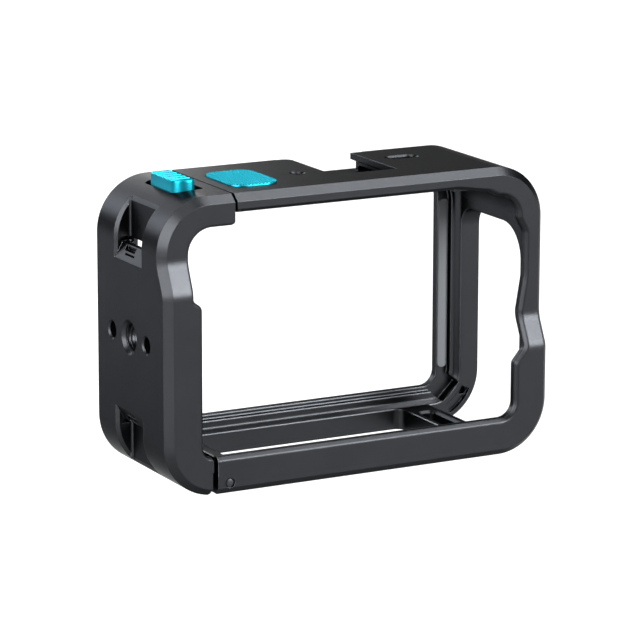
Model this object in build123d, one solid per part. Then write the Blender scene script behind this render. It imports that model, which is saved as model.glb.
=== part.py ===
from build123d import *
import math
import os

os.makedirs("parts", exist_ok=True)

# Sizes in mm. X runs along the width, Y from the lens side to the rear, Z up.
# The origin is under the middle of the cage, on the face it stands on.
# Places along Y are measured from the foremost face, unless a name says otherwise.

# Reach of a cut beyond what it cuts, overlap of joined shapes, and slack for picking edges
past = 5.0
overlap = 0.5
near = 0.01
chamfer_taper = -45.0

# Envelope and walls
frame_width = 79.0
frame_height = 54.0
frame_depth = 30.2
outer_radius = 10.0
wall = 3.95
front_edge_inset = 1.35
front_edge_depth = 1.63
rear_edge_chamfer = 1.3

# Stepped front: the upper part stands back, and a ramp joins it to the lower part
front_step = 2.5
ramp_run = 7.15
ramp_blend = 1.0
ramp_blend_radius = 4.4
door_ramp_drop = 10.4
post_ramp_top = 26.6
front_lip = 1.8

# Lens-side opening in the frame, as insets from the outside
frame_lip_chamfer = 0.65
bar_height = 7.15
bar_corner_radius = 3.0
lower_post_inset = 7.4
lower_post_top = 17.5
lower_post_radius = 1.2
waist_rise = 2.6
waist_inset = 5.2
waist_radius = 1.5
waist_blend_radius = 4.0
upper_post_inset = 4.1
upper_post_rise = 6.6
upper_post_radius = 8.0
ear_drop = 12.4
ear_rise = 2.7
ear_inset = 5.6
ear_foot_radius = 1.6
ear_corner_radius = 0.9
ear_roof_inset = 5.3
ear_roof_radius = 4.0
ear_length = 9.95
brow_inset = 3.3
brow_start = 11.75
brow_start_rise = 0.95
brow_end = 18.4
brow_radius = 3.0
brow_run = 4.75

# Lens-side opening in the door
door_lip_chamfer = 0.35
door_post_inset = 7.05
door_neck_inset = 5.4
door_shoulder_inset = 5.75
door_arm_drop = 5.45
door_arm_radius = 4.7
door_step_gap = 0.4
door_step_rise = 1.2
door_step_radius = 0.8
door_post_radius = 1.4
door_toe_radius = 2.2
door_arm_end_radius = 0.8
door_toe_chamfer = 0.4

# Rear rim, as depths from the rear face and insets from the outside
rim_depth = 3.85
rim_face_depth = 2.8
rear_lip_depth = 1.5
rim_chamfer = 0.8
step_inset_side = 5.5
step_inset_end = 6.15
lip_inset_side = 7.9
lip_inset_end = 7.0
lip_corner_radius = 3.0

# Parting between frame and door, and the frame's two forks that carry the hinge pin
door_width = 15.3
parting_gap = 0.5
floor_parting_shift = 0.3
parting_step_z = 8.5
fork_past_pin = 2.35
fork_gap = 1.1
fork_chamfer = 0.4

# Hinge
pin_from_parting = 2.95
pin_height = 2.2
pin_radius = 0.75
pin_press_clearance = 0.01
pin_running_clearance = 0.05
pin_end_inset = 0.15
pin_recess_radius = 0.95
pin_recess_depth = 0.4
knuckle_side_gap = 0.15

# Side and floor windows
bar_depth = 4.6
side_window_drop = 11.8
side_window_inset = 10.75
side_window_rear_radius = 3.7
side_window_front_radius = 6.5
cross_plate_width = 6.05
floor_window_inset = 2.05
floor_window_radius = 1.8
strap_slot_width = 3.2
strap_slot_length = 13.5
strap_slot_radius = 0.8
strap_slot_chamfer = 0.5

# Accessory shoe
shoe_centre_x = 6.15
shoe_mouth = 13.0
shoe_undercut = 1.2
shoe_depth = 3.3
shoe_lip_edge = 1.15
shoe_lip_slant = 0.55
shoe_front = 11.0
shoe_rear_inset = 1.5
shoe_groove_height = 1.0
shoe_groove_width = 1.5
shoe_groove_front = 19.0
shoe_groove_rear_inset = 2.3
shoe_groove_radius = 0.9
shoe_corner_radius = 1.7

# Microphone openings in the roof
mic_hole_x = -5.5
mic_hole_y = 15.7
mic_hole_radius = 1.2
mic_slot_inset = 20.25
mic_slot_y = 20.95
mic_slot_length = 6.2
mic_slot_width = 2.9
mic_chamfer = 0.3

# Shutter button
pad_from_parting = 7.1
pad_y = 15.3
pad_width = 9.6
pad_length = 13.75
pad_radius = 3.0
pad_proud = 0.43
pad_thickness = 1.35
pad_gap = 0.12
pad_edge = 0.25
button_travel = 0.6
travel_spare = 0.05
plunger_radius = 1.0
plunger_press_depth = 0.8
plunger_guide_clearance = 0.05
plunger_reach = 0.4
plunger_tip_chamfer = 0.3
spring_room_radius = 2.2
spring_room_depth = 1.0
spring_wire = 0.3
spring_radius = 1.7
spring_turns = 2.5
spring_steps = 10
spring_wire_sides = 6
clip_room_depth = 0.6
clip_radius = 1.95
clip_thickness = 0.3
clip_groove_radius = 0.75
clip_mouth = 1.3
clip_end_gap = 0.05

# Latch: thumb piece, bolt with two hooks, and the keeper's mouths in the frame
slot_from_parting = 2.8
slot_width = 5.9
slot_front = 9.85
slot_length = 13.15
slot_radius = 1.1
latch_travel = 2.0
slider_gap = 0.25
slider_width = 4.05
slider_length = 10.65
slider_height = 1.85
slider_edge = 0.45
slider_nose_radius = 2.4
slider_front_radius = 1.1
slider_rear_radius = 0.5
slider_ridges = 6
slider_groove_depth = 0.4
slider_groove_half_width = 0.35
bolt_cover_thickness = 1.8
bolt_thickness = 1.1
bolt_gap = 0.1
bolt_width = 8.15
bolt_length = 10.1
hook_neck = 1.4
hook_tip = 1.5
hook_reach = 0.7
hook_start = 0.2
hook_pitch = 7.0
keeper_wall = 1.0
keeper_clearance = 0.2
keeper_head_room = 0.3
latch_screw_radius = 0.7
latch_screw_head_radius = 1.2
latch_screw_head_height = 0.5
latch_screw_length = 3.2
latch_screw_pitch = 4.6

# Hexagon socket of the latch screws and the cover screws
socket_radius = 0.42
socket_depth = 0.4

# Latch cover and detent spring
cover_thickness = 0.75
cover_gap = 0.1
cover_width = 8.6
cover_length = 18.8
cover_from_parting = 1.2
cover_radius = 1.0
cover_screw_inset = 1.5
cover_screw_radius = 0.7
cover_screw_head_radius = 1.3
cover_screw_head_height = 0.5
cover_screw_length = 2.6
leaf_thickness = 0.15
leaf_width = 1.2
leaf_length = 9.0
leaf_bump = 0.3
leaf_bump_radius = 0.7
leaf_from_parting = 2.7
leaf_recess = 0.3
leaf_clearance = 0.05

# Side mount
side_hole_y = 15.65
side_thread_radius = 2.6
side_thread_countersink = 0.6
locating_hole_radius = 1.5
locating_hole_depth = 2.6
locating_hole_pitch = 14.2
locating_hole_chamfer = 0.3

# Claw pockets of the quick-release mount, one at each end of the door
pocket_width = 11.1
pocket_ramp_drop = 13.3
pocket_shelf_drop = 10.6
pocket_shelf_depth = 1.54
pocket_floor_depth = 3.2
pocket_corner_radius = 0.5
pocket_rim_chamfer = 0.6
pocket_top_chamfer = 0.45
pocket_groove_rise = 0.25
pocket_groove_height = 0.65
pocket_groove_reach = 1.0
pocket_groove_depth = 1.1
pocket_slit_drop = 0.75
pocket_slit_rise = 0.72
pocket_slit_depth = 2.5
pocket_slit_length = 9.8
pocket_notch_drop = 0.25
pocket_notch_height = 0.85
pocket_notch_depth = 1.8
pocket_notch_start = 4.9
pocket_notch_width = 4.2
pocket_bar_height = 0.35
pocket_line_height = 0.3
pocket_line_start = 4.4
pocket_line_width = 3.8

# Strap recess and square relief in the rear rim's lower right corner
strap_recess_radius = 8.2
strap_recess_width = 1.9
strap_recess_depth = 0.8
strap_recess_start = -64.0
strap_recess_end = -25.0
strap_hole_radius = 0.8
strap_hole_depth = 1.2
strap_hole_lead = 6.0
corner_relief_width = 5.0
corner_relief_reach = 5.85

# Rear pads
pad_strip_width = 2.1
pad_strip_thickness = 0.35
pad_strip_length = 33.0
pad_strip_corner = 0.6

# Places worked out from the sizes above
half_width = frame_width / 2
half_height = frame_height / 2
front_y = -frame_depth / 2
rear_y = frame_depth / 2
rim_front_y = rear_y - rim_depth
rim_face_y = rear_y - rim_face_depth
rear_lip_y = rear_y - rear_lip_depth
roof_z = frame_height - wall
inner_x = half_width - wall
door_ramp_top = frame_height - door_ramp_drop
window_y = front_y + bar_depth

parting_x = -half_width + door_width
door_parting_x = parting_x - parting_gap
floor_parting_x = parting_x - floor_parting_shift
pin_x = parting_x - pin_from_parting
fork_end_x = pin_x - fork_past_pin
door_toe_x = fork_end_x - fork_gap
cross_plate_right = half_width - side_window_inset
cross_plate_left = cross_plate_right - cross_plate_width

pad_x = parting_x + pad_from_parting
button_y = front_y + pad_y
pad_top_z = frame_height + pad_proud
pad_bottom_z = pad_top_z - pad_thickness
pad_floor_z = pad_bottom_z - button_travel - travel_spare
spring_seat_z = pad_floor_z - spring_room_depth
clip_seat_z = roof_z + clip_room_depth

bolt_top_z = frame_height - bolt_cover_thickness
bolt_bottom_z = bolt_top_z - bolt_thickness
bolt_right_x = door_parting_x - slider_gap
bolt_left_x = bolt_right_x - bolt_width
bolt_y = front_y + slot_front + slider_gap
slot_right_x = parting_x - slot_from_parting
slot_left_x = slot_right_x - slot_width
slider_left_x = slot_left_x + slider_gap
slider_x = slider_left_x + slider_width / 2
slider_y = bolt_y + slider_length / 2
latch_screw_y = (slider_y - latch_screw_pitch / 2, slider_y + latch_screw_pitch / 2)

cover_top_z = bolt_bottom_z - bolt_gap
cover_bottom_z = cover_top_z - cover_thickness
cover_x = parting_x - cover_from_parting - cover_width / 2
cover_y = bolt_y + (bolt_length + latch_travel) / 2
cover_screw_reach = cover_length / 2 - cover_screw_inset
cover_screw_y = (cover_y - cover_screw_reach, cover_y + cover_screw_reach)
leaf_x = parting_x - leaf_from_parting
leaf_y = bolt_y + bolt_length / 2
leaf_bump_z = cover_top_z + leaf_bump - leaf_bump_radius

pocket_y = front_y + side_hole_y - pocket_width / 2
pocket_shelf_x = -half_width + pocket_shelf_depth
pocket_floor_x = -half_width + pocket_floor_depth
pocket_shelf_z = frame_height - pocket_shelf_drop
pocket_ramp_z = frame_height - pocket_ramp_drop


def prism_x(sketch, x_low, x_high):
    start = Plane(origin=(x_low, 0, 0), x_dir=(0, 1, 0), z_dir=(1, 0, 0))
    return extrude(start * sketch, amount=x_high - x_low)


def prism_y(sketch, y_low, y_high):
    start = Plane(origin=(0, y_high, 0), x_dir=(1, 0, 0), z_dir=(0, -1, 0))
    return extrude(start * sketch, amount=y_high - y_low)


def prism_z(sketch, z_low, z_high):
    return extrude(Pos(0, 0, z_low) * sketch, amount=z_high - z_low)


def block(x_low, x_high, y_low, y_high, z_low, z_high):
    middle = Pos((x_low + x_high) / 2, (y_low + y_high) / 2, (z_low + z_high) / 2)
    return middle * Box(x_high - x_low, y_high - y_low, z_high - z_low)


def rod_z(x, y, z_low, z_high, radius):
    return Pos(x, y, (z_low + z_high) / 2) * Cylinder(radius, z_high - z_low)


def cone_z(x, y, z_low, z_high, radius_low, radius_high):
    return Pos(x, y, (z_low + z_high) / 2) * Cone(radius_low, radius_high, z_high - z_low)


def rod_y(x, z, y_low, y_high, radius):
    return Pos(x, (y_low + y_high) / 2, z) * Rot(X=90) * Cylinder(radius, y_high - y_low)


def rod_x(y, z, x_low, x_high, radius):
    return Pos((x_low + x_high) / 2, y, z) * Rot(Y=90) * Cylinder(radius, x_high - x_low)


def outline_face(*points):
    return make_face(Polyline(*points, close=True))


def rounded_face(corners):
    """A closed face through corners given as (first, second, radius)."""
    points = [(first, second) for first, second, radius in corners]
    radii = [radius for first, second, radius in corners]
    return make_face(FilletPolyline(*points, radius=radii, close=True))


# ------------------------------------------------- outer form shared by frame and door


def ring_outline(inset_side, inset_end, radius):
    width = frame_width - 2 * inset_side
    height = frame_height - 2 * inset_end
    return Pos(0, half_height) * RectangleRounded(width, height, radius)


def stepped_slab(ramp_top, shift):
    """Everything behind the stepped front, with the front moved rearward by shift."""
    lower_y = front_y + shift
    upper_y = lower_y + front_step
    upper_bend_z = ramp_top - ramp_blend
    lower_bend_z = ramp_top - ramp_run + ramp_blend
    outline = outline_face(
        (rear_y, -past),
        (rear_y, frame_height + past),
        (upper_y, frame_height + past),
        (upper_y, upper_bend_z),
        (lower_y, lower_bend_z),
        (lower_y, -past),
    )
    bends = [
        v for v in outline.vertices()
        if min(abs(v.Y - upper_bend_z), abs(v.Y - lower_bend_z)) < near
    ]
    return prism_x(fillet(bends, ramp_blend_radius), -half_width - past, half_width + past)


def opened_slab(ramp_top, corners, lip_chamfer):
    """The slab with the lens-side opening cut and the opening's front edge broken."""
    across = [x for x, z, radius in corners]
    open_sides = [x for x, z, radius in corners if radius == overlap]
    opening = prism_y(rounded_face(corners), front_y - past, front_y + front_step + front_lip)

    def is_lip_edge(edge):
        box = edge.bounding_box()
        in_front = box.max.Y < front_y + front_step + near
        along_face = abs(edge.tangent_at(0.5).Y) < 0.9
        inside_x = min(across) - near < box.min.X and box.max.X < max(across) + near
        inside_z = 0 < box.min.Z and box.max.Z < frame_height
        on_parting = box.size.X < near and min(abs(box.min.X - x) for x in open_sides) < near
        return in_front and along_face and inside_x and inside_z and not on_parting

    slab = stepped_slab(ramp_top, 0) - opening
    return chamfer(slab.edges().filter_by(is_lip_edge), lip_chamfer)


def outer_form(ramp_top):
    """The full outer body, with its front and rear outer edges chamfered all round."""
    form = prism_y(ring_outline(0, 0, outer_radius), front_y, rear_y) & stepped_slab(ramp_top, 0)
    front = form.faces().filter_by(Axis.Y).sort_by(Axis.Y)[0]
    lower_edge = front.edges().sort_by(Axis.Z)[0]
    form = chamfer(lower_edge, front_edge_inset, front_edge_depth, reference=front)
    rear = form.faces().filter_by(Axis.Y).sort_by(Axis.Y)[-1]
    return chamfer(rear.edges(), rear_edge_chamfer)


def camera_room(ramp_top):
    room = prism_y(ring_outline(wall, wall, outer_radius - wall), front_y, rim_face_y)
    room = chamfer(room.faces().sort_by(Axis.Y)[-1].edges(), rim_chamfer)
    return room & stepped_slab(ramp_top, front_lip)


def rear_opening():
    step_outline = ring_outline(step_inset_side, step_inset_end, outer_radius - step_inset_side)
    mouth_outline = ring_outline(lip_inset_side, lip_inset_end, lip_corner_radius)
    step = prism_y(step_outline, rim_face_y - past, rear_lip_y)
    return step + prism_y(mouth_outline, rear_lip_y - past, rear_y + past)


def hollow_form(ramp_top, opening_corners, lip_chamfer):
    form = outer_form(ramp_top) & opened_slab(ramp_top, opening_corners, lip_chamfer)
    return form - camera_room(ramp_top) - rear_opening()


# ----------------------------------------------------------------------- main frame


def lower_bevel(x, size, side):
    """Wedge that bevels the lower end of a face at x that looks towards side."""
    wedge = outline_face((x - side * size, 0), (x + side * size, 2 * size), (x + side * past, -past))
    return prism_y(wedge, front_y - past, rear_y + past)


def frame_zone():
    """The share of the outer form that belongs to the frame."""
    top = frame_height + past
    right = half_width + past
    front = front_y - past
    rear = rear_y + past
    upper = block(parting_x, right, front, rear, parting_step_z, top)
    lower = block(floor_parting_x, right, front, rear, -past, parting_step_z)
    front_fork = block(fork_end_x, right, front, window_y, -past, parting_step_z)
    rear_fork = block(fork_end_x, right, rim_front_y, rear, -past, parting_step_z)
    zone = upper + lower + front_fork + rear_fork
    return zone - lower_bevel(fork_end_x, fork_chamfer, -1)


def frame_opening_corners():
    left = fork_end_x - past
    upper_post_x = half_width - upper_post_inset
    ear_x = half_width - ear_inset
    ear_bottom = frame_height - ear_drop
    ear_top = frame_height - ear_roof_inset
    brow_z = frame_height - brow_inset
    return [
        (left, bar_height, overlap),
        (half_width - lower_post_inset, bar_height, bar_corner_radius),
        (half_width - lower_post_inset, lower_post_top, lower_post_radius),
        (half_width - waist_inset, lower_post_top + waist_rise, waist_radius),
        (half_width - waist_inset, post_ramp_top, waist_blend_radius),
        (upper_post_x, post_ramp_top + upper_post_rise, upper_post_radius),
        (upper_post_x, ear_bottom, ear_foot_radius),
        (ear_x, ear_bottom + ear_rise, ear_corner_radius),
        (ear_x, ear_top, ear_roof_radius),
        (half_width - ear_length, ear_top, ear_corner_radius),
        (half_width - brow_start, ear_top + brow_start_rise, ear_corner_radius),
        (half_width - brow_end, brow_z, brow_radius),
        (left, brow_z, overlap),
    ]


def brow_relief():
    """Towards the front, the roof's underside rises out of the camera's view."""
    start_y = front_y + front_step
    brow_z = frame_height - brow_inset
    section = outline_face(
        (start_y - past, brow_z),
        (start_y + front_lip, brow_z),
        (start_y + brow_run, roof_z),
        (start_y + brow_run, roof_z - wall),
        (start_y - past, roof_z - wall),
    )
    return prism_x(section, parting_x - past, half_width - brow_end)


def side_window():
    """One window through the right wall and on through the floor's corner."""
    top = frame_height - side_window_drop
    corners = [
        (window_y, -past, overlap),
        (rim_front_y, -past, overlap),
        (rim_front_y, top, side_window_rear_radius),
        (window_y, top, side_window_front_radius),
    ]
    return prism_x(rounded_face(corners), cross_plate_right, half_width + past)


def floor_windows():
    left = floor_parting_x + floor_window_inset
    length = rim_front_y - window_y
    middle_y = (rim_front_y + window_y) / 2
    window = RectangleRounded(cross_plate_left - left, length, floor_window_radius)
    slot = RectangleRounded(strap_slot_width, strap_slot_length, strap_slot_radius)
    slot = Pos((cross_plate_left + cross_plate_right) / 2, middle_y) * slot
    window = Pos((cross_plate_left + left) / 2, middle_y) * window
    sink = wall - strap_slot_chamfer
    slot_edge = extrude(Pos(0, 0, sink) * slot, amount=strap_slot_chamfer, taper=chamfer_taper)
    return prism_z(window, -past, wall + near) + prism_z(slot, -past, wall + near) + slot_edge


def shoe():
    """A channel under two lips, open to the rear, with a wider groove along its floor."""
    half_mouth = shoe_mouth / 2
    half_floor = half_mouth + shoe_undercut
    half_groove = half_floor + shoe_groove_width
    top = frame_height + past
    lip_bottom = frame_height - shoe_lip_edge
    floor = frame_height - shoe_depth
    rear = rear_y - shoe_rear_inset
    section = outline_face(
        (-half_mouth, top),
        (-half_mouth, lip_bottom),
        (-half_floor, lip_bottom - shoe_lip_slant),
        (-half_floor, floor),
        (half_floor, floor),
        (half_floor, lip_bottom - shoe_lip_slant),
        (half_mouth, lip_bottom),
        (half_mouth, top),
    )
    channel = prism_y(section, front_y + shoe_front, rear_y + past)
    rear_relief = block(-half_groove, half_groove, rear, rear_y + past, floor, top)
    groove_end = rear_y - shoe_groove_rear_inset
    groove_start = front_y + shoe_groove_front
    groove = block(-half_groove, half_groove, groove_start, groove_end, floor, floor + shoe_groove_height)
    upper_rear_edge = groove.edges().filter_by(Axis.X).group_by(Axis.Y)[-1].sort_by(Axis.Z)[-1]
    groove = fillet(upper_rear_edge, shoe_groove_radius)
    corner = block(
        -half_mouth - shoe_corner_radius, -half_mouth, rear - shoe_corner_radius, rear, lip_bottom, top
    )
    corner -= rod_z(
        -half_mouth - shoe_corner_radius, rear - shoe_corner_radius, floor, top, shoe_corner_radius
    )
    return Pos(shoe_centre_x, 0, 0) * (channel + rear_relief + groove + corner)


def mic_openings():
    top = frame_height
    sink = top - mic_chamfer
    y = front_y + mic_hole_y
    hole = rod_z(mic_hole_x, y, roof_z - past, top + past, mic_hole_radius)
    hole += cone_z(mic_hole_x, y, sink, top, mic_hole_radius, mic_hole_radius + mic_chamfer)
    outline = SlotOverall(mic_slot_length, mic_slot_width)
    outline = Pos(half_width - mic_slot_inset, front_y + mic_slot_y) * outline
    slot = prism_z(outline, roof_z - past, top + past)
    return hole + slot + extrude(Pos(0, 0, sink) * outline, amount=mic_chamfer, taper=chamfer_taper)


def button_seat():
    """Recess for the pad, guide for the plunger, and rooms for its spring and clip."""
    outline = RectangleRounded(pad_width + 2 * pad_gap, pad_length + 2 * pad_gap, pad_radius + pad_gap)
    recess = prism_z(Pos(pad_x, button_y) * outline, pad_floor_z, frame_height + past)
    guide_radius = plunger_radius + plunger_guide_clearance
    guide = rod_z(pad_x, button_y, roof_z - past, pad_floor_z + overlap, guide_radius)
    spring_room = rod_z(pad_x, button_y, spring_seat_z, pad_floor_z + overlap, spring_room_radius)
    clip_room = rod_z(pad_x, button_y, roof_z - past, clip_seat_z, spring_room_radius)
    return recess + guide + spring_room + clip_room


def keeper():
    """Mouths in the parting face, each with a shoulder that a hook of the bolt goes behind."""
    mouth_length = latch_travel + hook_neck + 2 * keeper_clearance
    depth = keeper_wall + hook_reach + 2 * keeper_clearance
    low = bolt_bottom_z - keeper_clearance
    high = bolt_top_z + keeper_head_room
    mouths = []
    for hook in range(2):
        y = bolt_y + hook_start + hook * hook_pitch - keeper_clearance
        mouths.append(block(parting_x - past, parting_x + depth, y, y + mouth_length, low, high))
        room_end = y + mouth_length + hook_tip
        mouths.append(block(parting_x + keeper_wall, parting_x + depth, y, room_end, low, high))
    return mouths[0].fuse(*mouths[1:])


def strap_recess():
    """A curved recess in the rim's lower right corner, with a hole at its upper end."""
    half_band = strap_recess_width / 2
    band = Circle(strap_recess_radius + half_band) - Circle(strap_recess_radius - half_band)
    far = 3 * outer_radius
    start = Vector(far, 0).rotate(Axis.Z, strap_recess_start)
    end = Vector(far, 0).rotate(Axis.Z, strap_recess_end)
    band &= outline_face((0, 0), (start.X, start.Y), (end.X, end.Y))
    centre_x = half_width - outer_radius
    floor = rim_front_y + strap_recess_depth
    recess = prism_y(Pos(centre_x, outer_radius) * band, rim_front_y - past, floor)
    hole = Vector(strap_recess_radius, 0).rotate(Axis.Z, strap_recess_end - strap_hole_lead)
    x = centre_x + hole.X
    z = outer_radius + hole.Y
    return recess + rod_y(x, z, rim_front_y - past, floor + strap_hole_depth, strap_hole_radius)


def corner_relief():
    """A square notch across the rim's step in its lower right corner."""
    notch = Pos(corner_relief_reach / 2, 0) * Rectangle(corner_relief_reach, corner_relief_width)
    diagonal = Pos(half_width - outer_radius, outer_radius) * Rot(Z=-45)
    return prism_y(diagonal * notch, rim_face_y - past, rear_lip_y)


def hinge_bore(clearance):
    return rod_y(pin_x, pin_height, front_y - past, rear_y + past, pin_radius + clearance)


def make_frame():
    form = hollow_form(post_ramp_top, frame_opening_corners(), frame_lip_chamfer) & frame_zone()
    form -= brow_relief()
    form -= side_window()
    form -= floor_windows()
    form -= shoe()
    form -= mic_openings()
    form -= button_seat()
    form -= keeper()
    form -= strap_recess()
    form -= corner_relief()
    form -= hinge_bore(pin_press_clearance)
    form -= rod_y(pin_x, pin_height, front_y - past, front_y + pin_recess_depth, pin_recess_radius)
    return form


# ------------------------------------------------------------------------ side door


def door_zone():
    """The share of the outer form that belongs to the door, with its knuckle round the pin."""
    left = -half_width - past
    front = front_y - past
    rear = rear_y + past
    knuckle_front = window_y + knuckle_side_gap
    knuckle_rear = rim_front_y - knuckle_side_gap
    upper = block(left, door_parting_x, front, rear, parting_step_z, frame_height + past)
    lower = block(left, door_toe_x, front, rear, -past, parting_step_z)
    lower -= lower_bevel(door_toe_x, door_toe_chamfer, 1)
    plate = block(door_toe_x - 2 * door_toe_chamfer, pin_x, knuckle_front, knuckle_rear, 0, wall)
    barrel = rod_y(pin_x, pin_height, knuckle_front, knuckle_rear, pin_height)
    barrel &= block(pin_x - past, pin_x + past, knuckle_front, knuckle_rear, 0, wall)
    return upper + lower + plate + barrel


def arm_end_rounding():
    """Rounds the lower corner at the end of the door's arm."""
    radius = door_arm_end_radius
    x = door_parting_x
    z = frame_height - door_arm_drop
    front = front_y - past
    rear = front_y + front_step + front_lip
    corner = block(x - radius, x + past, front, rear, z - past, z + radius)
    return corner - rod_y(x - radius, z + radius, front - past, rear + past, radius)


def door_opening_corners():
    right = parting_x + past
    arm_z = frame_height - door_arm_drop
    post_x = -half_width + door_post_inset
    step_z = door_ramp_top - ramp_run - door_step_gap
    return [
        (right, bar_height, overlap),
        (right, arm_z, overlap),
        (-half_width + door_shoulder_inset, arm_z, door_arm_radius),
        (-half_width + door_neck_inset, step_z, door_step_radius),
        (post_x, step_z - door_step_rise, door_post_radius),
        (post_x, bar_height, door_toe_radius),
    ]


def claw_pocket():
    """The upper pocket: a ramp up to a shelf, an upright floor and a groove across its foot."""
    slope = pocket_shelf_depth / (pocket_shelf_z - pocket_ramp_z)
    outside = -half_width - pocket_shelf_depth
    top = frame_height + past
    rear = pocket_y + pocket_width
    ramp = outline_face(
        (outside, pocket_ramp_z - pocket_shelf_depth / slope),
        (pocket_shelf_x, pocket_shelf_z),
        (pocket_shelf_x, top),
        (outside, top),
    )
    room = block(outside, pocket_floor_x, pocket_y, rear, pocket_shelf_z, top)
    inner_edges = room.edges().filter_by(Axis.Z).group_by(Axis.X)[-1]
    room = fillet(inner_edges, pocket_corner_radius)
    groove = block(
        -half_width + pocket_groove_depth, pocket_floor_x,
        pocket_y - pocket_groove_reach, rear + pocket_groove_reach,
        pocket_shelf_z + pocket_groove_rise,
        pocket_shelf_z + pocket_groove_rise + pocket_groove_height,
    )
    slit = block(
        -half_width + pocket_slit_depth, -inner_x + past,
        pocket_y, pocket_y + pocket_slit_length,
        pocket_shelf_z - pocket_slit_drop, pocket_shelf_z + pocket_slit_rise,
    )
    pocket = prism_y(ramp, pocket_y, rear) + room + groove + slit
    return pocket + pocket_notches(outside) + pocket_rim() + pocket_top_edge()


def pocket_notches(outside):
    """A shallow window in the ramp, with a bar and a thin line below it."""
    floor_x = -half_width + pocket_notch_depth
    window_top = pocket_shelf_z - pocket_notch_drop
    window_bottom = window_top - pocket_notch_height
    line_top = window_bottom - pocket_bar_height
    window_y_low = pocket_y + pocket_notch_start
    line_y = pocket_y + pocket_line_start
    window = block(
        outside, floor_x, window_y_low, window_y_low + pocket_notch_width, window_bottom, window_top
    )
    line = block(
        outside, floor_x, line_y, line_y + pocket_line_width, line_top - pocket_line_height, line_top
    )
    return window + line


def pocket_rim():
    """Chamfer along the pocket's rear edge, from the ramp up and round the outer corner."""
    rear = pocket_y + pocket_width
    outside = half_width + overlap
    inside = half_width - pocket_rim_chamfer
    wedge = outline_face((-inside, rear), (-outside, rear), (-outside, rear + pocket_rim_chamfer + overlap))
    corner_z = frame_height - outer_radius
    straight = prism_z(wedge, pocket_ramp_z, corner_z)
    corner_x = -half_width + outer_radius
    sweep_angle = math.degrees(math.acos((corner_x - pocket_floor_x) / outer_radius))
    section = Pos(0, 0, corner_z) * wedge
    return straight + revolve(section, Axis((corner_x, 0, corner_z), (0, 1, 0)), sweep_angle)


def pocket_top_edge():
    """Chamfer where the pocket's upright floor comes out through the round corner."""
    corner_x = -half_width + outer_radius
    rise = math.sqrt(outer_radius**2 - (corner_x - pocket_floor_x) ** 2)
    edge_z = frame_height - outer_radius + rise
    wedge = outline_face(
        (pocket_floor_x - overlap, edge_z - pocket_top_chamfer),
        (pocket_floor_x, edge_z - pocket_top_chamfer),
        (pocket_floor_x + pocket_top_chamfer, edge_z + pocket_top_chamfer),
        (pocket_floor_x - overlap, edge_z + pocket_top_chamfer),
    )
    return prism_y(wedge, pocket_y, pocket_y + pocket_width)


def side_holes():
    y = front_y + side_hole_y
    outside = -half_width - past
    holes = rod_x(y, half_height, outside, -inner_x + past, side_thread_radius)
    holes += countersink_x(y, side_thread_radius, side_thread_countersink)
    for side in (-1, 1):
        hole_y = y + side * locating_hole_pitch / 2
        holes += rod_x(hole_y, half_height, outside, -half_width + locating_hole_depth, locating_hole_radius)
        holes += countersink_x(hole_y, locating_hole_radius, locating_hole_chamfer)
    return holes


def countersink_x(y, radius, depth):
    place = Pos(-half_width + depth / 2, y, half_height) * Rot(Y=90)
    return place * Cone(radius + depth, radius, depth)


def thumb_outline(left, right, front, length, nose_radius, front_radius, rear_radius):
    """Outline of the thumb piece and its slot, with a large radius at the front left corner."""
    rear = front + length
    return rounded_face([
        (left, front, nose_radius),
        (right, front, front_radius),
        (right, rear, rear_radius),
        (left, rear, rear_radius),
    ])


def latch_seat():
    """Slot for the thumb piece, room for the bolt and a seat for the cover, open to the inside."""
    nose = slider_nose_radius + slider_gap
    slot_y = front_y + slot_front
    slot = thumb_outline(slot_left_x, slot_right_x, slot_y, slot_length, nose, slot_radius, slot_radius)
    seat = prism_z(slot, bolt_top_z, frame_height + past)
    seat += block(
        bolt_left_x - 2 * bolt_gap,
        parting_x + past,
        bolt_y - bolt_gap,
        bolt_y + bolt_length + latch_travel + bolt_gap,
        cover_top_z,
        bolt_top_z + bolt_gap,
    )
    outline = RectangleRounded(cover_width + 2 * cover_gap, cover_length + 2 * cover_gap, cover_radius)
    seat += prism_z(Pos(cover_x, cover_y) * outline, roof_z - 2 * wall, cover_top_z)
    for y in cover_screw_y:
        hole_end = cover_bottom_z + cover_screw_length
        seat += rod_z(cover_x, y, cover_top_z - overlap, hole_end, cover_screw_radius)
    return seat


def make_door():
    form = hollow_form(door_ramp_top, door_opening_corners(), door_lip_chamfer) & door_zone()
    pocket = claw_pocket()
    form -= pocket
    form -= Pos(0, 0, frame_height) * mirror(pocket, Plane.XY)
    form -= side_holes()
    form -= latch_seat()
    form -= arm_end_rounding()
    form -= hinge_bore(pin_running_clearance)
    return form


# ------------------------------------------------------------------- hinge and pads


def make_hinge_pin():
    return rod_y(pin_x, pin_height, front_y + pin_end_inset, rear_y - pin_end_inset, pin_radius)


def make_rear_pad():
    middle = half_width - (step_inset_side + lip_inset_side) / 2
    strip = Rectangle(pad_strip_width, pad_strip_length)
    strip = chamfer(strip.vertices(), pad_strip_corner)
    return prism_y(Pos(middle, half_height) * strip, rear_lip_y - pad_strip_thickness, rear_lip_y)


# ------------------------------------------------------------------- shutter button


def make_button():
    outline = Pos(pad_x, button_y) * RectangleRounded(pad_width, pad_length, pad_radius)
    pad = prism_z(outline, pad_bottom_z, pad_top_z)
    pad = chamfer(pad.faces().sort_by(Axis.Z)[-1].edges(), pad_edge)
    hole_end = pad_bottom_z + plunger_press_depth
    return pad - rod_z(pad_x, button_y, pad_bottom_z - past, hole_end, plunger_radius)


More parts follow.
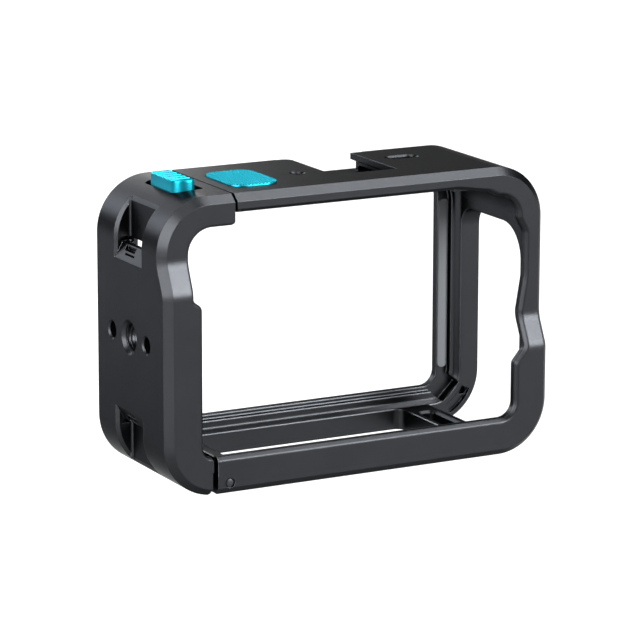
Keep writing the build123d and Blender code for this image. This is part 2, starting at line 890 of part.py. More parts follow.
def make_plunger():
    """Pin pressed in the pad, with a groove for the clip and a bevelled tip."""
    bottom = roof_z - plunger_reach
    plunger = rod_z(pad_x, button_y, bottom, pad_bottom_z + plunger_press_depth, plunger_radius)
    plunger = chamfer(plunger.faces().sort_by(Axis.Z)[0].edges(), plunger_tip_chamfer)
    groove_top = clip_seat_z - clip_end_gap
    groove = Circle(plunger_radius + overlap) - Circle(clip_groove_radius)
    return plunger - prism_z(Pos(pad_x, button_y) * groove, groove_top - clip_thickness, groove_top)


def make_button_spring():
    """Coil drawn as short straight lengths between points of a helix."""
    steps = int(spring_turns * spring_steps)
    low = spring_seat_z + spring_wire / 2
    rise = pad_bottom_z - spring_wire / 2 - low
    points = []
    for step in range(steps + 1):
        angle = math.tau * step / spring_steps
        x = pad_x + spring_radius * math.cos(angle)
        y = button_y + spring_radius * math.sin(angle)
        points.append((x, y, low + rise * step / steps))
    path = Polyline(*points)
    section = Plane(origin=path @ 0, z_dir=path % 0) * RegularPolygon(spring_wire / 2, spring_wire_sides)
    return sweep(section, path=path, transition=Transition.RIGHT)


def make_clip():
    ring = Circle(clip_radius) - Circle(clip_groove_radius)
    ring -= Pos(0, -clip_radius) * Rectangle(clip_mouth, 2 * clip_radius)
    top = clip_seat_z - clip_end_gap
    return prism_z(Pos(pad_x, button_y) * ring, top - clip_thickness, top)


# ---------------------------------------------------------------------------- latch


def make_slider():
    top = frame_height + slider_height
    right = slider_left_x + slider_width
    radii = slider_nose_radius, slider_front_radius, slider_rear_radius
    outline = thumb_outline(slider_left_x, right, bolt_y, slider_length, *radii)
    slider = prism_z(outline, bolt_top_z, top)
    slider = chamfer(slider.faces().sort_by(Axis.Z)[-1].edges(), slider_edge)
    pitch = slider_length / slider_ridges
    for ridge in range(1, slider_ridges):
        y = bolt_y + ridge * pitch
        groove = outline_face(
            (y - slider_groove_half_width, top + near),
            (y, top - slider_groove_depth),
            (y + slider_groove_half_width, top + near),
        )
        slider -= prism_x(groove, slider_left_x - past, right + past)
    for y in latch_screw_y:
        hole_end = bolt_bottom_z + latch_screw_length
        slider -= rod_z(slider_x, y, bolt_top_z - past, hole_end, latch_screw_radius)
    return slider


def make_bolt():
    """Plate under the thumb piece, with two hooks past the parting and two detent notches."""
    plate = block(
        bolt_left_x, bolt_right_x, bolt_y, bolt_y + bolt_length, bolt_bottom_z, bolt_top_z
    )
    tip_end = parting_x + keeper_wall + keeper_clearance + hook_reach
    for hook in range(2):
        y = bolt_y + hook_start + hook * hook_pitch
        plate += block(bolt_right_x - overlap, tip_end, y, y + hook_neck, bolt_bottom_z, bolt_top_z)
        tip_start = tip_end - hook_reach
        plate += block(tip_start, tip_end, y, y + hook_neck + hook_tip, bolt_bottom_z, bolt_top_z)
    for y in latch_screw_y:
        plate -= rod_z(slider_x, y, bolt_bottom_z - past, bolt_top_z + past, latch_screw_radius)
        plate -= screw_head(slider_x, y, bolt_bottom_z, latch_screw_head_radius,
                            latch_screw_radius, latch_screw_head_height)
    for notch in range(2):
        y = leaf_y - notch * latch_travel
        radius = leaf_bump_radius + leaf_clearance
        plate -= rod_x(y, leaf_bump_z + leaf_clearance, leaf_x - leaf_width, leaf_x + leaf_width, radius)
    return plate


def screw_head(x, y, bottom, head_radius, radius, height):
    return cone_z(x, y, bottom, bottom + height, head_radius, radius)


def countersunk_screw(x, y, bottom, length, radius, head_radius, head_height):
    """A screw that points up, with its head's face at the bottom and a hexagon socket."""
    screw = rod_z(x, y, bottom + head_height, bottom + length, radius)
    screw += screw_head(x, y, bottom, head_radius, radius, head_height)
    socket = Pos(x, y) * RegularPolygon(socket_radius, 6)
    return screw - prism_z(socket, bottom - past, bottom + socket_depth)


def make_latch_screws():
    screws = [
        countersunk_screw(slider_x, y, bolt_bottom_z, latch_screw_length, latch_screw_radius,
                          latch_screw_head_radius, latch_screw_head_height)
        for y in latch_screw_y
    ]
    return Compound(screws)


def make_cover_screws():
    screws = [
        countersunk_screw(cover_x, y, cover_bottom_z, cover_screw_length, cover_screw_radius,
                          cover_screw_head_radius, cover_screw_head_height)
        for y in cover_screw_y
    ]
    return Compound(screws)


def make_leaf():
    """Flat spring in the cover, with a rounded bump that drops into the bolt's notches."""
    bottom = cover_top_z - leaf_recess
    left = leaf_x - leaf_width / 2
    right = leaf_x + leaf_width / 2
    half_length = leaf_length / 2
    flat = block(left, right, leaf_y - half_length, leaf_y + half_length, bottom, bottom + leaf_thickness)
    arch = rod_x(leaf_y, leaf_bump_z, left, right, leaf_bump_radius)
    arch &= block(left, right, leaf_y - past, leaf_y + past, bottom, frame_height)
    hollow = rod_x(leaf_y, leaf_bump_z, left - past, right + past, leaf_bump_radius - leaf_thickness)
    return flat + arch - hollow


def make_cover():
    outline = RectangleRounded(cover_width, cover_length, cover_radius)
    cover = prism_z(Pos(cover_x, cover_y) * outline, cover_bottom_z, cover_top_z)
    reach_x = leaf_width / 2 + cover_gap
    reach_y = leaf_length / 2 + cover_gap
    cover -= block(
        leaf_x - reach_x,
        leaf_x + reach_x,
        leaf_y - reach_y,
        leaf_y + reach_y,
        cover_top_z - leaf_recess,
        cover_top_z + past,
    )
    for y in cover_screw_y:
        cover -= rod_z(cover_x, y, cover_bottom_z - past, cover_top_z + past, cover_screw_radius)
        cover -= screw_head(cover_x, y, cover_bottom_z, cover_screw_head_radius,
                            cover_screw_radius, cover_screw_head_height)
    return cover


right_pad = make_rear_pad()
parts = {
    "main_frame": make_frame(),
    "side_door": make_door(),
    "hinge_pin": make_hinge_pin(),
    "rear_pad_right": right_pad,
    "rear_pad_left": mirror(right_pad, Plane.YZ),
    "shutter_button": make_button(),
    "button_plunger": make_plunger(),
    "button_spring": make_button_spring(),
    "button_clip": make_clip(),
    "latch_slider": make_slider(),
    "latch_bolt": make_bolt(),
    "latch_screws": make_latch_screws(),
    "detent_spring": make_leaf(),
    "latch_cover": make_cover(),
    "cover_screws": make_cover_screws(),
}
for name, shape in parts.items():
    export_step(shape, f"parts/{name}.step")
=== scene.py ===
import math

import bpy
from mathutils import Matrix, Vector


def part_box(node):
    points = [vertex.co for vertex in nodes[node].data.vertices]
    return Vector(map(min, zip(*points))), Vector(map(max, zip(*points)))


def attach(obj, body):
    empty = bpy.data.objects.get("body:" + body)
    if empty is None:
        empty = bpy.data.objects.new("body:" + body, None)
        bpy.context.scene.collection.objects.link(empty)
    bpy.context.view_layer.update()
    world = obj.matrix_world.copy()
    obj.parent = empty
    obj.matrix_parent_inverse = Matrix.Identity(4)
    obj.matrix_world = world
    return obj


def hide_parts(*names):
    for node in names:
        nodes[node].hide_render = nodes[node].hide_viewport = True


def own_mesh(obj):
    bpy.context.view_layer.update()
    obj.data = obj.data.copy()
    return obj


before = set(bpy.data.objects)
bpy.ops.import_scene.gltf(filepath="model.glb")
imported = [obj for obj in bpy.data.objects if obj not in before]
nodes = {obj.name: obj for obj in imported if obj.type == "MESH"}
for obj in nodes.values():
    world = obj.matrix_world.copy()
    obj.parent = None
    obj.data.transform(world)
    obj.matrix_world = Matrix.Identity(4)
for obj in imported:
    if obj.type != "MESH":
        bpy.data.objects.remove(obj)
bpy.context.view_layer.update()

mm = 0.001  # every length in the dictionaries is in mm
nearby = 0.01 * mm  # places closer than this count as one


def hexColor(text):
    # sRGB hex to the linear values that the shaders want
    channels = [int(text[i:i + 2], 16) / 255 for i in (1, 3, 5)]
    linear = [c / 12.92 if c <= 0.04045 else ((c + 0.055) / 1.055) ** 2.4 for c in channels]
    return (*linear, 1.0)


def addNode(tree, kind, inputs=None, **settings):
    # one node with its settings; an input is a value, or a socket to link from,
    # and goes by its number where a node has several of one name
    node = tree.nodes.new(kind)
    for name, value in settings.items():
        setattr(node, name, value)
    for name, value in (inputs or {}).items():
        if isinstance(value, bpy.types.NodeSocket):
            tree.links.new(value, node.inputs[name])
        else:
            node.inputs[name].default_value = value
    return node


def startMaterial(name):
    material = bpy.data.materials.new(name)
    material.use_nodes = True
    material.node_tree.nodes.clear()
    return material, material.node_tree


def selectOnly(*objects):
    bpy.ops.object.select_all(action="DESELECT")
    for item in objects:
        item.select_set(True)
    bpy.context.view_layer.objects.active = objects[0]


def settleInMesh(piece):
    # the place, turn and size go into the mesh, and the object stays at the origin
    selectOnly(piece)
    bpy.ops.object.transform_apply(location=True, rotation=True, scale=True)
    return piece


def applyModifiers(piece):
    selectOnly(piece)
    for modifier in list(piece.modifiers):
        bpy.ops.object.modifier_apply(modifier=modifier.name)


def cutWith(piece, cutter, operation="DIFFERENCE"):
    modifier = piece.modifiers.new("cut", "BOOLEAN")
    modifier.object = cutter
    modifier.operation = operation
    modifier.solver = "EXACT"
    applyModifiers(piece)
    bpy.data.objects.remove(cutter)


def addBlock(name, low, high):
    bpy.ops.object.select_all(action="DESELECT")
    center = (Vector(low) + Vector(high)) / 2
    size = Vector(high) - Vector(low)
    bpy.ops.mesh.primitive_cube_add(size=1, location=center, scale=size)
    block = bpy.context.object
    block.name = name
    return settleInMesh(block)


def addCylinder(name, radius, length, center, axis, sides):
    turns = {"X": (0, math.pi / 2, 0), "Y": (math.pi / 2, 0, 0), "Z": (0, 0, 0)}
    bpy.ops.object.select_all(action="DESELECT")
    bpy.ops.mesh.primitive_cylinder_add(
        vertices=sides, radius=radius, depth=length, location=center, rotation=turns[axis])
    cylinder = bpy.context.object
    cylinder.name = name
    return settleInMesh(cylinder)


def chooseEdges(piece, wanted):
    # selects the edges whose two ends pass the test, and nothing else
    mesh = piece.data
    for items in (mesh.polygons, mesh.edges, mesh.vertices):
        for item in items:
            item.select = False
    for edge in mesh.edges:
        first, second = (mesh.vertices[i].co for i in edge.vertices)
        edge.select = wanted(first, second)


def bevelEdges(piece, wanted, width, segments):
    selectOnly(piece)
    chooseEdges(piece, wanted)
    bpy.context.tool_settings.mesh_select_mode = (False, True, False)
    bpy.ops.object.mode_set(mode="EDIT")
    bpy.ops.mesh.bevel(offset=width, segments=segments, profile=0.5, affect="EDGES")
    bpy.ops.object.mode_set(mode="OBJECT")


def smoothByAngle(piece, degrees=32):
    selectOnly(piece)
    bpy.ops.object.shade_smooth_by_angle(angle=math.radians(degrees))


def finishPiece(piece, body, material, replaced=()):
    piece.data.materials.clear()
    piece.data.materials.append(material)
    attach(piece, body)
    if replaced:
        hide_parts(*replaced)
    return piece


camera = {
    "place": (-308.979, -574.406, 178.373),
    "right": (0.8815466, -0.47209135, 0.00231341),
    "up": (0.10537328, 0.20153778, 0.97379618),
    "forward": (0.46018699, 0.85820294, -0.22741075),
    "lens": 204.679,
    "sensor": 36.0,
    "clipStart": 50.0,
}
cameraData = bpy.data.cameras.new("camera")
cameraObject = bpy.data.objects.new("camera", cameraData)
bpy.context.scene.collection.objects.link(cameraObject)
cameraData.lens = camera["lens"]
cameraData.sensor_width = camera["sensor"]
cameraData.sensor_fit = "HORIZONTAL"
cameraData.clip_start = camera["clipStart"] * mm
turn = Matrix((camera["right"], camera["up"], -Vector(camera["forward"]))).transposed()
cameraObject.matrix_world = Matrix.Translation(Vector(camera["place"]) * mm) @ turn.to_4x4()
bpy.context.scene.camera = cameraObject
print("camera placed")


def makeAnodised(name, dark, light, settings):
    # bead-blasted aluminium under a dyed oxide layer: a satin metal, softly mottled, paler on its edges,
    # partly wear and partly a painted highlight
    material, tree = startMaterial(name)
    place = addNode(tree, "ShaderNodeTexCoord").outputs["Object"]
    cloud = addNode(tree, "ShaderNodeTexNoise", {
        "Vector": place, "Scale": 1 / (settings["cloudSize"] * mm), "Detail": 3.0})
    tint = addNode(tree, "ShaderNodeMix", {
        0: cloud.outputs["Fac"], 6: hexColor(dark), 7: hexColor(light)}, data_type="RGBA")
    grain = addNode(tree, "ShaderNodeTexNoise", {
        "Vector": place, "Scale": 1 / (settings["grainSize"] * mm), "Detail": 2.0})
    grainLow, grainHigh = settings["grainRange"]
    rough = addNode(tree, "ShaderNodeMapRange", {
        "Value": grain.outputs["Fac"], "From Min": grainLow, "From Max": grainHigh,
        "To Min": settings["roughLow"], "To Max": settings["roughHigh"]})

    # the edges are broken by lipRadius inside the opening and by edgeRadius outside it
    apart = addNode(tree, "ShaderNodeSeparateXYZ", {0: place})
    across = addNode(tree, "ShaderNodeMath", {0: apart.outputs["X"]}, operation="ABSOLUTE")
    above = addNode(tree, "ShaderNodeMath", {
        0: apart.outputs["Z"], 1: settings["middleZ"] * mm}, operation="SUBTRACT")
    upDown = addNode(tree, "ShaderNodeMath", {0: above.outputs[0]}, operation="ABSOLUTE")
    radii = []
    for distance, (lipEnd, outerStart) in (
            (across, settings["lipAcross"]), (upDown, settings["lipUpDown"])):
        radii.append(addNode(tree, "ShaderNodeMapRange", {
            "Value": distance.outputs[0], "From Min": lipEnd * mm, "From Max": outerStart * mm,
            "To Min": settings["lipRadius"] * mm, "To Max": settings["edgeRadius"] * mm}).outputs[0])
    edgeSize = addNode(tree, "ShaderNodeMath", {0: radii[0], 1: radii[1]}, operation="MINIMUM")
    rounded = addNode(tree, "ShaderNodeBevel", {"Radius": edgeSize.outputs[0]}, samples=8)

    # the pale edge colour, partly wear and partly a painted highlight along the edges, starts where the
    # rounded edge leans away from the face, and is full further round
    facing = addNode(tree, "ShaderNodeNewGeometry").outputs["Normal"]
    likeness = addNode(tree, "ShaderNodeVectorMath", {
        0: rounded.outputs[0], 1: facing}, operation="DOT_PRODUCT")
    paleEdgeStart, paleEdgeFull = settings["wearAndHighlightLean"]
    edge = addNode(tree, "ShaderNodeMapRange", {
        "Value": likeness.outputs["Value"], "From Min": paleEdgeStart, "From Max": paleEdgeFull,
        "To Min": 0.0, "To Max": settings["wearAndHighlightAmount"]})
    wearAndHighlightMix = addNode(tree, "ShaderNodeMix", {
        0: edge.outputs[0], 6: tint.outputs[2], 7: hexColor(settings["wearAndHighlightColor"])}, data_type="RGBA")
    blast = addNode(tree, "ShaderNodeBump", {
        "Height": grain.outputs["Fac"], "Normal": rounded.outputs[0],
        "Strength": settings["grainStrength"], "Distance": settings["grainDepth"] * mm})
    shader = addNode(tree, "ShaderNodeBsdfPrincipled", {
        "Base Color": wearAndHighlightMix.outputs[2], "Metallic": settings["metallic"], "Roughness": rough.outputs[0],
        "Specular Tint": hexColor(settings["rimTint"]), "Normal": blast.outputs[0]})
    addNode(tree, "ShaderNodeOutputMaterial", {"Surface": shader.outputs[0]})
    return material


blackFinish = {
    "cloudSize": 9.0,  # slow drift of the dye over a face
    "grainSize": 0.22,  # blasting grit leaves 0.05 mm dimples, drawn coarser so they show
    "grainDepth": 0.02,
    "grainStrength": 0.3,
    "grainRange": (0.3, 0.7),
    "roughLow": 0.29,
    "roughHigh": 0.38,
    "edgeRadius": 0.12,
    "lipRadius": 0.5,  # the edges round the opening are broken wider than the outer ones
    "lipAcross": (35.6, 36.6),  # distances from the cage's middle where the lip ends and the outside starts
    "lipUpDown": (23.2, 23.6),
    "middleZ": 27.0,
    # the pale edge colour below is partly wear and partly a painted highlight line along the edges
    "wearAndHighlightAmount": 0.3,
    "wearAndHighlightLean": (0.93, 0.75),  # cosine of the lean, so the first is the smaller angle
    "wearAndHighlightColor": "#7d8186",
    "rimTint": "#b3b3b3",  # the dyed layer takes up light at a flat angle too
    "metallic": 1.0,
}
# the blue keeps a pale cyan edge, partly wear and partly a painted highlight
blueFinish = dict(
    blackFinish, grainStrength=0.2, roughLow=0.28, roughHigh=0.36, edgeRadius=0.08, lipRadius=0.08,
    wearAndHighlightAmount=0.15, wearAndHighlightColor="#8fefff", rimTint="#6f939b", metallic=0.85)
blackAnodised = makeAnodised("blackAnodisedAluminium", "#232426", "#28292b", blackFinish)
blueAnodised = makeAnodised("blueAnodisedAluminium", "#0a6877", "#0f7382", blueFinish)


steelMarks = {
    "across": 9.0,  # grinding marks to the mm, and the same lengthwise
    "along": 0.7,
    "depth": 0.01,
    "strength": 0.2,
    "roughBelow": 0.05,
    "roughAbove": 0.07,
}


def makeSteel(name, dark, light, roughness):
    # ground steel: fine marks along the part break up a bright reflection
    material, tree = startMaterial(name)
    place = addNode(tree, "ShaderNodeTexCoord").outputs["Object"]
    across, along = steelMarks["across"] / mm, steelMarks["along"] / mm
    stretched = addNode(tree, "ShaderNodeMapping", {"Vector": place, "Scale": (across, along, across)})
    marks = addNode(tree, "ShaderNodeTexNoise", {
        "Vector": stretched.outputs[0], "Scale": 1.0, "Detail": 3.0})
    tint = addNode(tree, "ShaderNodeMix", {
        0: marks.outputs["Fac"], 6: hexColor(dark), 7: hexColor(light)}, data_type="RGBA")
    bump = addNode(tree, "ShaderNodeBump", {
        "Height": marks.outputs["Fac"], "Strength": steelMarks["strength"],
        "Distance": steelMarks["depth"] * mm})
    rough = addNode(tree, "ShaderNodeMapRange", {
        "Value": marks.outputs["Fac"], "To Min": roughness - steelMarks["roughBelow"],
        "To Max": roughness + steelMarks["roughAbove"]})
    shader = addNode(tree, "ShaderNodeBsdfPrincipled", {
        "Base Color": tint.outputs[2], "Metallic": 1.0,
        "Roughness": rough.outputs[0], "Normal": bump.outputs[0]})
    addNode(tree, "ShaderNodeOutputMaterial", {"Surface": shader.outputs[0]})
    return material


groundSteel = makeSteel("groundStainlessSteel", "#8d8e90", "#c4c5c7", 0.3)
blackSteel = makeSteel("blackOxideSteel", "#232427", "#3a3b3f", 0.38)


siliconeFinish = {
    "dark": "#424447",
    "light": "#4f5154",
    "sparkSize": 0.25,
    "sparkDepth": 0.03,
    "sparkStrength": 0.4,
    "roughLow": 0.62,
    "roughHigh": 0.8,
}


def makeSilicone():
    # moulded silicone: dull, with the fine spark texture of its mould
    material, tree = startMaterial("mouldedSilicone")
    place = addNode(tree, "ShaderNodeTexCoord").outputs["Object"]
    spark = addNode(tree, "ShaderNodeTexNoise", {
        "Vector": place, "Scale": 1 / (siliconeFinish["sparkSize"] * mm), "Detail": 4.0})
    tint = addNode(tree, "ShaderNodeMix", {
        0: spark.outputs["Fac"], 6: hexColor(siliconeFinish["dark"]),
        7: hexColor(siliconeFinish["light"])}, data_type="RGBA")
    bump = addNode(tree, "ShaderNodeBump", {
        "Height": spark.outputs["Fac"], "Strength": siliconeFinish["sparkStrength"],
        "Distance": siliconeFinish["sparkDepth"] * mm})
    rough = addNode(tree, "ShaderNodeMapRange", {
        "Value": spark.outputs["Fac"], "To Min": siliconeFinish["roughLow"],
        "To Max": siliconeFinish["roughHigh"]})
    shader = addNode(tree, "ShaderNodeBsdfPrincipled", {
        "Base Color": tint.outputs[2], "Roughness": rough.outputs[0],
        "IOR": 1.41, "Normal": bump.outputs[0]})
    addNode(tree, "ShaderNodeOutputMaterial", {"Surface": shader.outputs[0]})
    return material


silicone = makeSilicone()

finishes = {
    "main_frame": blackAnodised,
    "side_door": blackAnodised,
    "latch_cover": blackAnodised,
    "latch_slider": blueAnodised,
    "shutter_button": blueAnodised,
    "latch_bolt": groundSteel,
    "detent_spring": groundSteel,
    "button_plunger": groundSteel,
    "latch_screws": blackSteel,
    "cover_screws": blackSteel,
    "button_clip": blackSteel,
    "rear_pad_right": silicone,
    "rear_pad_left": silicone,
}
for nodeName, material in finishes.items():
    nodes[nodeName].data.materials.clear()
    nodes[nodeName].data.materials.append(material)
print("finishes given to", len(finishes), "CAD nodes")


thumb = {
    "lift": 0.01,  # clear of the door, so it doesn't graze it as it slides
    "noseRadius": 2.4,
    "frontRadius": 1.1,
    "rearRadius": 0.5,
    "cornerSteps": 8,
    "topRadius": 0.45,
    "topSteps": 4,
    "ribs": 6,
    "grooveRadius": 0.62,
    "grooveRise": 0.2,  # the groove bar's middle stands this far above the top
    "grooveOverrun": 1.0,
    "grooveSides": 28,
    "ribRounding": 0.14,
    "ribSteps": 3,
    "screwRadius": 0.72,
    "screwPitch": 4.6,
    "screwDepth": 2.15,
    "screwSides": 24,
}


def makeThumbPiece():
    low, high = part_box("latch_slider")
    low.z += thumb["lift"] * mm
    middle = (low + high) / 2
    piece = addBlock("thumbPiece", low, high)
    corners = {
        "noseRadius": (low.x, low.y), "frontRadius": (high.x, low.y),
        "rearRadius": (None, high.y)}
    for name, (x, y) in corners.items():
        bevelEdges(piece, lambda a, b: (
            abs(a.z - b.z) > nearby and abs(a.y - y) < nearby and (x is None or abs(a.x - x) < nearby)),
            thumb[name] * mm, thumb["cornerSteps"])
    top = high.z - nearby
    bevelEdges(
        piece, lambda a, b: a.z > top and b.z > top, thumb["topRadius"] * mm, thumb["topSteps"])

    # one round bar, repeated along the top, sinks the grooves between the ribs
    pitch = (high.y - low.y) / thumb["ribs"]
    bars = addCylinder(
        "grooveBar", thumb["grooveRadius"] * mm, high.x - low.x + 2 * thumb["grooveOverrun"] * mm,
        (middle.x, low.y + pitch, high.z + thumb["grooveRise"] * mm), "X", thumb["grooveSides"])
    repeat = bars.modifiers.new("bars", "ARRAY")
    repeat.count = thumb["ribs"] - 1
    repeat.use_relative_offset = False
    repeat.use_constant_offset = True
    repeat.constant_offset_displace = (0, pitch, 0)
    applyModifiers(bars)
    cutWith(piece, bars)
    reach = math.sqrt(thumb["grooveRadius"] ** 2 - thumb["grooveRise"] ** 2) * mm
    brims = [low.y + pitch * n + side * reach for n in range(1, thumb["ribs"]) for side in (-1, 1)]
    bevelEdges(piece, lambda a, b: (
        a.z > top and b.z > top and abs(a.y - b.y) < nearby
        and min(abs(a.y - y) for y in brims) < 2 * nearby),
        thumb["ribRounding"] * mm, thumb["ribSteps"])
    for side in (-1, 1):
        hole = addCylinder(
            "screwHole", thumb["screwRadius"] * mm, 2 * thumb["screwDepth"] * mm,
            (middle.x, middle.y + side * thumb["screwPitch"] / 2 * mm, low.z), "Z", thumb["screwSides"])
        cutWith(piece, hole)
    smoothByAngle(piece)
    return finishPiece(piece, "latch", blueAnodised, ["latch_slider"])


thumbPiece = makeThumbPiece()
print("thumb piece:", len(thumbPiece.data.polygons), "faces")


shutter = {
    "cornerRadius": 3.0,
    "cornerSteps": 14,
    "edgeRadius": 0.3,
    "edgeSteps": 2,
    "knurlPitch": 0.5,
    "knurlHeight": 0.3,
    "knurlBlock": 3.0,  # how far the knurled sheet is thickened, and how far it ends below the pad
    "knurlBelow": 1.0,
    "plungerRadius": 1.02,
    "plungerDepth": 0.82,
    "plungerSides": 28,
    "smoothUnder": 25,  # degrees
}


def makeShutterPad():
    low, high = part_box("shutter_button")
    middle = (low + high) / 2
    body = addBlock("shutterPad", low, high)
    bevelEdges(
        body, lambda a, b: abs(a.z - b.z) > nearby, shutter["cornerRadius"] * mm, shutter["cornerSteps"])
    top = high.z - nearby
    bevelEdges(
        body, lambda a, b: a.z > top and b.z > top, shutter["edgeRadius"] * mm, shutter["edgeSteps"])

    # a turned sheet of small squares, each drawn up to a point, thickened down into a block
    reach = (high - low).length
    count = math.ceil(reach / (shutter["knurlPitch"] * mm))
    size = count * shutter["knurlPitch"] * mm
    bpy.ops.object.select_all(action="DESELECT")
    bpy.ops.mesh.primitive_grid_add(
        x_subdivisions=count, y_subdivisions=count, size=size, rotation=(0, 0, math.pi / 4),
        location=(middle.x, middle.y, high.z - shutter["knurlHeight"] * mm))
    knurl = settleInMesh(bpy.context.object)
    bpy.ops.object.mode_set(mode="EDIT")
    bpy.ops.mesh.select_all(action="SELECT")
    bpy.ops.mesh.poke(offset=shutter["knurlHeight"] * mm)
    bpy.ops.mesh.select_all(action="SELECT")
    bpy.ops.mesh.extrude_region_move(
        TRANSFORM_OT_translate={"value": (0, 0, -shutter["knurlBlock"] * mm)})
    bpy.ops.transform.resize(
        value=(1, 1, 0), center_override=(middle.x, middle.y, low.z - shutter["knurlBelow"] * mm))
    bpy.ops.mesh.select_all(action="SELECT")
    bpy.ops.mesh.normals_make_consistent(inside=False)
    bpy.ops.object.mode_set(mode="OBJECT")
    cutWith(body, knurl, "INTERSECT")
    cutWith(body, addCylinder(
        "plungerHole", shutter["plungerRadius"] * mm, 2 * shutter["plungerDepth"] * mm,
        (middle.x, middle.y, low.z), "Z", shutter["plungerSides"]))
    smoothByAngle(body, shutter["smoothUnder"])
    return finishPiece(body, "button", blueAnodised, ["shutter_button"])


shutterPad = makeShutterPad()
print("shutter pad:", len(shutterPad.data.polygons), "faces")


thread = {
    "axisY": 0.55,
    "axisZ": 27.0,
    "startX": -38.75,
    "endX": -35.62,
    "pitch": 1.27,  # twenty turns to the inch
    "rootRadius": 2.62,  # a little into the bore's wall, so no gap shows
    "crestRadius": 2.45,
    "halfTooth": 0.42,  # half the tooth's foot, as a share of the pitch
    "stepsPerTurn": 40,
    "smoothUnder": 40,  # degrees
}


def makeSideThread():
    # a triangle set to the tooth's outline, screwed round the hole's axis, then cut flush at both ends
    bpy.ops.object.select_all(action="DESELECT")
    bpy.ops.mesh.primitive_circle_add(vertices=3, radius=1 * mm, fill_type="NOTHING")
    tooth = bpy.context.object
    tooth.name = "sideThread"
    half = thread["pitch"] * thread["halfTooth"] * mm
    root, crest = thread["rootRadius"] * mm, thread["crestRadius"] * mm
    corners = ((-half, root), (half, root), (0, crest))
    for vertex, (along, out) in zip(tooth.data.vertices, corners):
        vertex.co = (along, out, 0)
    turns = math.ceil((thread["endX"] - thread["startX"]) / thread["pitch"]) + 2  # one spare at each end
    screw = tooth.modifiers.new("turns", "SCREW")
    screw.axis = "X"
    screw.screw_offset = thread["pitch"] * mm
    screw.iterations = turns
    screw.steps = screw.render_steps = thread["stepsPerTurn"]
    screw.use_merge_vertices = False
    applyModifiers(tooth)
    start = thread["startX"] - thread["pitch"]
    tooth.location = (start * mm, thread["axisY"] * mm, thread["axisZ"] * mm)
    settleInMesh(tooth)
    bpy.ops.object.mode_set(mode="EDIT")
    for x, outward in ((thread["startX"], -1), (thread["endX"], 1)):
        bpy.ops.mesh.select_all(action="SELECT")
        bpy.ops.mesh.bisect(
            plane_co=(x * mm, 0, 0), plane_no=(outward, 0, 0), clear_outer=True, use_fill=True)
    bpy.ops.mesh.select_all(action="SELECT")
    bpy.ops.mesh.normals_make_consistent(inside=False)
    bpy.ops.object.mode_set(mode="OBJECT")
    smoothByAngle(tooth, thread["smoothUnder"])
    return finishPiece(tooth, "door", blackAnodised)


sideThread = makeSideThread()
print("side thread:", len(sideThread.data.polygons), "faces")


returnSpring = {
    "wireRadius": 0.15,
    "wireSides": 10,
    "turns": 2.5,
    "stepsPerTurn": 24,
    "travel": 0.6,  # what the pad takes off the spring's length when pressed
    "smoothUnder": 50,  # degrees
}


def makeReturnSpring():
    # one round of wire swept up the coil, its two cut ends closed
    low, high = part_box("button_spring")
    middle = (low + high) / 2
    wire = returnSpring["wireRadius"] * mm
    coilRadius = (high.x - low.x) / 2 - wire
    bpy.ops.object.select_all(action="DESELECT")
    bpy.ops.mesh.primitive_circle_add(
        vertices=returnSpring["wireSides"], radius=wire, location=(coilRadius, 0, 0),
        rotation=(math.pi / 2, 0, 0))
    coil = settleInMesh(bpy.context.object)
    coil.name = "returnSpring"
    sweep = coil.modifiers.new("coil", "SCREW")
    sweep.axis = "Z"
    sweep.angle = returnSpring["turns"] * math.tau
    sweep.screw_offset = high.z - low.z - 2 * wire
    sweep.steps = sweep.render_steps = round(returnSpring["turns"] * returnSpring["stepsPerTurn"])
    applyModifiers(coil)
    coil.location = (middle.x, middle.y, low.z + wire)
    settleInMesh(coil)
    bpy.ops.object.mode_set(mode="EDIT")
    bpy.ops.mesh.select_all(action="SELECT")
    bpy.ops.mesh.fill_holes(sides=0)
    bpy.ops.mesh.select_all(action="SELECT")
    bpy.ops.mesh.normals_make_consistent(inside=False)
    bpy.ops.object.mode_set(mode="OBJECT")
    smoothByAngle(coil, returnSpring["smoothUnder"])
    finishPiece(coil, "cage", groundSteel, ["button_spring"])
    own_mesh(coil)
    return coil


returnCoil = makeReturnSpring()
print("return spring:", len(returnCoil.data.polygons), "faces")


hingePin = {"endBevel": 0.14, "endSteps": 2, "sides": 32}


def makeHingePin():
    # a ground rod whose two ends are broken all round
    low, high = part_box("hinge_pin")
    pin = addCylinder(
        "hingePin", (high.x - low.x) / 2, high.y - low.y, (low + high) / 2, "Y", hingePin["sides"])
    bevelEdges(
        pin, lambda a, b: abs(a.y - b.y) < nearby, hingePin["endBevel"] * mm, hingePin["endSteps"])
    smoothByAngle(pin)
    return finishPiece(pin, "cage", blackSteel, ["hinge_pin"])


makeHingePin()
print("hinge pin made")


rearStrip = {"cornerRadius": 0.9, "cornerSteps": 8, "edgeRadius": 0.12, "edgeSteps": 3}


def makeRearStrip(nodeName, body):
    # a strip with round ends, softened along its front edges
    low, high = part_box(nodeName)
    piece = addBlock(nodeName.replace("rear_pad_", "rearStrip_"), low, high)
    bevelEdges(
        piece, lambda a, b: abs(a.y - b.y) > nearby,
        rearStrip["cornerRadius"] * mm, rearStrip["cornerSteps"])
    front = low.y + nearby
    bevelEdges(
        piece, lambda a, b: a.y < front and b.y < front,
        rearStrip["edgeRadius"] * mm, rearStrip["edgeSteps"])
    smoothByAngle(piece)
    return finishPiece(piece, body, silicone, [nodeName])


makeRearStrip("rear_pad_right", "cage")
makeRearStrip("rear_pad_left", "door")
print("rear strips made")


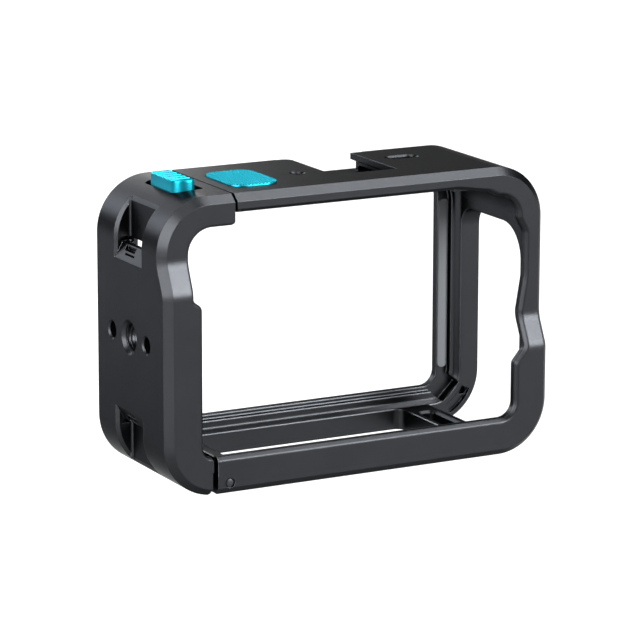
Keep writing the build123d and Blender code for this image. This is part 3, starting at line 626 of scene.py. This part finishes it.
studio = {
    "floorSize": 6000.0,
    "floorLevel": -15.0,  # low enough for the open door, which hangs below the cage's foot
    "floorColor": "#4a4a4a",
    "floorRoughness": 0.6,
    "floorGlow": 0.9,  # lit from below, as a white light table is
    "skyColor": "#ffffff",
    "skyStrength": 0.32,
    "target": (0.0, 0.0, 27.0),
    "boxes": {
        # azimuth and elevation in degrees, distance, width, height, brightness
        "frontRight": (-60, 26, 900, 290, 600, 43.0),  # the front faces and their sloping steps
        "left": (-160, 26, 900, 600, 800, 14.5),  # the door's rounded corner
        "overhead": (-8, 62, 900, 400, 400, 16.0),  # the chamfer along the roof's front
        "ceiling": (170, 76, 900, 400, 400, 8.0),  # the knurl's facets
        "backLeft": (100, 19, 900, 760, 280, 17.0),  # the roof, seen at a flat angle
        "backEdge": (70, 17, 900, 130, 220, 8.5),  # the rear rim's edges
    },
    "pools": {
        # place, side, beam in degrees, brightness; narrow beams that brighten the floor behind the door
        "poolBack": ((-190, 270, 330), 200, 60, 46.0),
        "poolLeft": ((-200, -80, 330), 150, 40, 30.0),
    },
}


def addSoftLight(name, width, height, brightness, beam=180):
    # an area light as bright per surface for any size, unseen by the camera
    lightData = bpy.data.lights.new(name, "AREA")
    lightData.shape = "RECTANGLE"
    lightData.size = width * mm
    lightData.size_y = height * mm
    lightData.spread = math.radians(beam)
    lightData.energy = brightness * math.pi * width * height * mm * mm
    light = bpy.data.objects.new(name, lightData)
    light.visible_camera = False
    bpy.context.scene.collection.objects.link(light)
    return light


bpy.ops.object.select_all(action="DESELECT")
bpy.ops.mesh.primitive_plane_add(
    size=studio["floorSize"] * mm, location=(0, 0, studio["floorLevel"] * mm))
floor = settleInMesh(bpy.context.object)
floor.name = "floor"
floorMaterial, tree = startMaterial("paleFloor")
shader = addNode(tree, "ShaderNodeBsdfPrincipled", {
    "Base Color": hexColor(studio["floorColor"]), "Roughness": studio["floorRoughness"],
    "Emission Color": hexColor("#ffffff"), "Emission Strength": studio["floorGlow"]})
addNode(tree, "ShaderNodeOutputMaterial", {"Surface": shader.outputs[0]})
floor.data.materials.append(floorMaterial)

world = bpy.data.worlds.new("studio")
world.use_nodes = True
world.node_tree.nodes["Background"].inputs["Color"].default_value = hexColor(studio["skyColor"])
world.node_tree.nodes["Background"].inputs["Strength"].default_value = studio["skyStrength"]
bpy.context.scene.world = world

target = Vector(studio["target"]) * mm
for boxName, (azimuth, elevation, distance, width, height, brightness) in studio["boxes"].items():
    light = addSoftLight(boxName, width, height, brightness)
    around, upward = math.radians(azimuth), math.radians(elevation)
    away = Vector((
        math.cos(upward) * math.cos(around), math.cos(upward) * math.sin(around), math.sin(upward)))
    light.matrix_world = (
        Matrix.Translation(target + away * distance * mm)
        @ away.to_track_quat("Z", "Y").to_matrix().to_4x4())
for poolName, (place, side, beam, brightness) in studio["pools"].items():
    light = addSoftLight(poolName, side, side, brightness, beam)
    light.location = Vector(place) * mm  # an unturned light shines straight down
bpy.context.scene.view_settings.view_transform = "Standard"
print("floor and", len(studio["boxes"]) + len(studio["pools"]), "lights placed")
